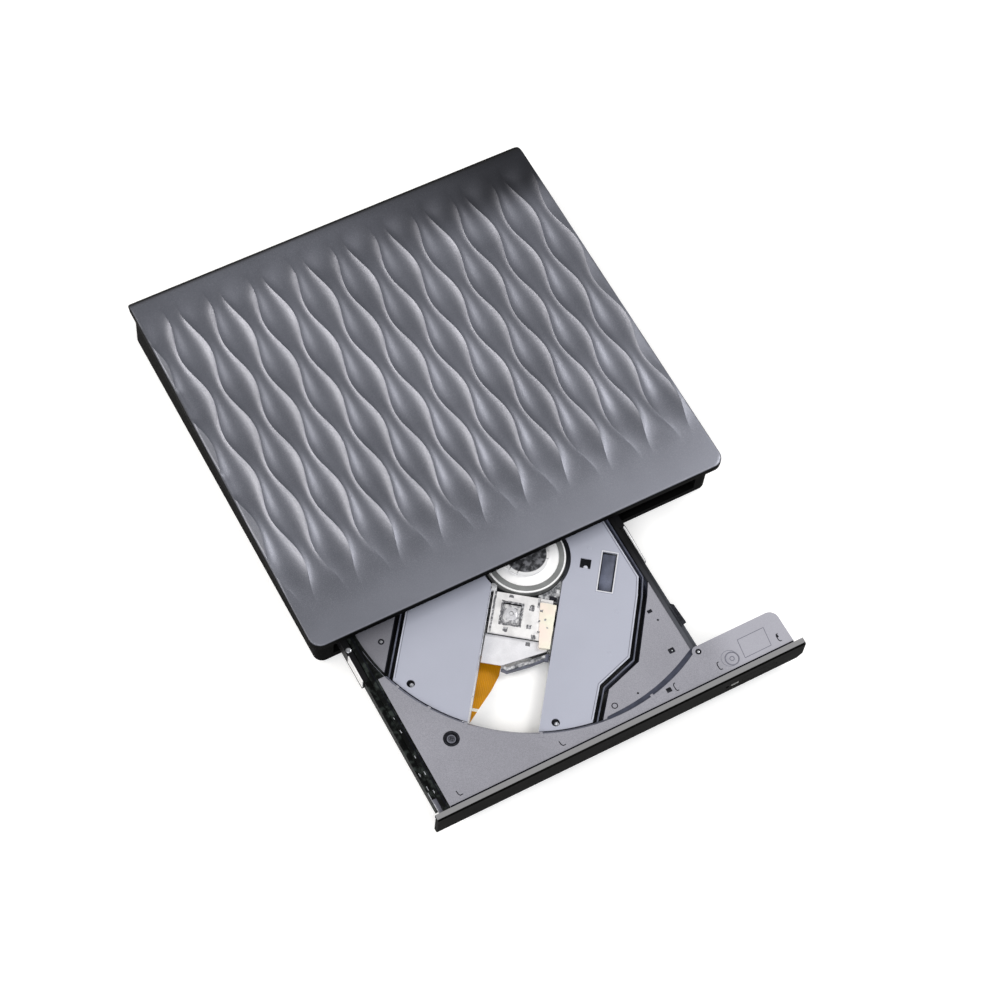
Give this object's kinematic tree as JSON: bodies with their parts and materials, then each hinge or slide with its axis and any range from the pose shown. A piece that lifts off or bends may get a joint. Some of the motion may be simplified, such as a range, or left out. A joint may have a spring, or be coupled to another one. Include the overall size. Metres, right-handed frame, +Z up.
{
  "type": "external optical disc drive",
  "caption": "Slim rectangular disc drive with a wave relief cover, its bezel and disc tray half drawn out on side slides, with spindle, pickup sledge and eject button.",
  "frame": {"origin": "centre of the footprint of case and half open tray, on the surface the feet stand on", "axes": "+X to the right seen from the tray's front, +Y from the tray towards the back of the case, +Z up"},
  "size_m": [0.1453, 0.2018, 0.0193],
  "materials": {
    "cover_shell": "textured satin dark grey with wave relief",
    "base_shell": "matt black",
    "bezel_gloss": "glossy near black",
    "tray_plastic": "fine matt grey",
    "mechanism_sheet": "smooth light lavender grey",
    "rail_plastic": "black, slightly shiny",
    "rubber_black": "matt black",
    "sheet_steel": "plain zinc coated sheet",
    "bright_steel": "bright turned steel",
    "zinc_screw": "dark zinc",
    "board_green": "solder mask",
    "chip_black": "matt black",
    "plug_black": "matt black",
    "carriage_black": "dark moulded",
    "pickup_metal": "bright stamped",
    "pickup_pale": "pale",
    "flex_orange": "orange film",
    "lens_glass": "clear with a blue tint",
    "holder_black": "matt black",
    "lamp_clear": "milky clear",
    "hub_plastic": "black moulded",
    "turntable_metal": "bright turned"
  },
  "bodies": {
    "case": {"bottom_case": "base_shell", "top_cover": "cover_shell", "rubber_feet": "rubber_black", "drive_chassis": "sheet_steel", "drive_top_plate": "sheet_steel", "runner_left": "rail_plastic", "runner_right": "rail_plastic", "main_board": "board_green", "main_chips": "chip_black", "usb_bridge_board": "board_green", "bridge_chips": "chip_black", "usb_socket_shell": "bright_steel", "usb_socket_tongue": "plug_black", "drive_plug": "plug_black"},
    "slide_left": {"slide_left": "sheet_steel"},
    "slide_right": {"slide_right": "sheet_steel"},
    "tray": {"tray": "tray_plastic", "tray_rail_left": "rail_plastic", "tray_rail_right": "rail_plastic", "bezel": "bezel_gloss", "lamp_window": "lamp_clear", "tray_panel_board": "board_green", "eject_switch": "chip_black", "deck_screws": "zinc_screw", "mechanism_cover": "mechanism_sheet", "tray_shield": "sheet_steel", "traverse_base": "sheet_steel", "dampers": "rubber_black", "guide_shaft_main": "bright_steel", "guide_shaft_side": "bright_steel", "screw_end_bearing": "plug_black", "sled_motor": "bright_steel", "spindle_motor": "sheet_steel", "pickup_flex": "flex_orange"},
    "spindle": {"rotor": "bright_steel", "turntable": "turntable_metal", "friction_ring": "rubber_black", "hub": "hub_plastic", "hub_claws": "hub_plastic"},
    "pickup": {"pickup_carriage": "carriage_black", "pickup_cover": "pickup_metal", "pickup_shelf": "pickup_pale", "pickup_plate": "pickup_pale"},
    "lens": {"lens_holder": "holder_black", "lens": "lens_glass"},
    "lead_screw": {"lead_screw": "bright_steel"},
    "eject_button": {"eject_button": "bezel_gloss"}
  },
  "joints": [
    {"name": "tray_travel", "type": "slide", "parent": "case", "child": "tray", "axis": [0, -1, 0], "range_m": [-0.0666, 0.0514]},
    {"name": "slide_left_travel", "type": "slide", "parent": "case", "child": "slide_left", "axis": [0, -1, 0], "range_m": [-0.0333, 0.0257]},
    {"name": "slide_right_travel", "type": "slide", "parent": "case", "child": "slide_right", "axis": [0, -1, 0], "range_m": [-0.0333, 0.0257]},
    {"name": "spindle_spin", "type": "hinge", "parent": "tray", "child": "spindle", "pos_m": [0.00207, -0.0344, 0.0076], "axis": [0, 0, 1], "continuous": true},
    {"name": "pickup_travel", "type": "slide", "parent": "tray", "child": "pickup", "axis": [-0.606, -0.7955, 0], "range_m": [0, 0.0376]},
    {"name": "lens_focus", "type": "slide", "parent": "pickup", "child": "lens", "axis": [0, 0, 1], "range_m": [-0.00035, 0.00035], "stiffness_N_per_m": 10},
    {"name": "lead_screw_spin", "type": "hinge", "parent": "tray", "child": "lead_screw", "pos_m": [-0.00954, -0.02555, 0.0074], "axis": [-0.606, -0.7955, 0], "range_deg": [0, 4512]},
    {"name": "eject_button_press", "type": "slide", "parent": "tray", "child": "eject_button", "axis": [0, 1, 0], "range_m": [0, 0.0006], "stiffness_N_per_m": 1500}
  ],
  "couplings": [
    {"joint": "slide_left_travel", "follows": "tray_travel", "ratio": 0.5},
    {"joint": "slide_right_travel", "follows": "tray_travel", "ratio": 0.5},
    {"joint": "lead_screw_spin", "follows": "pickup_travel", "rad_per_m": 2094.4}
  ]
}
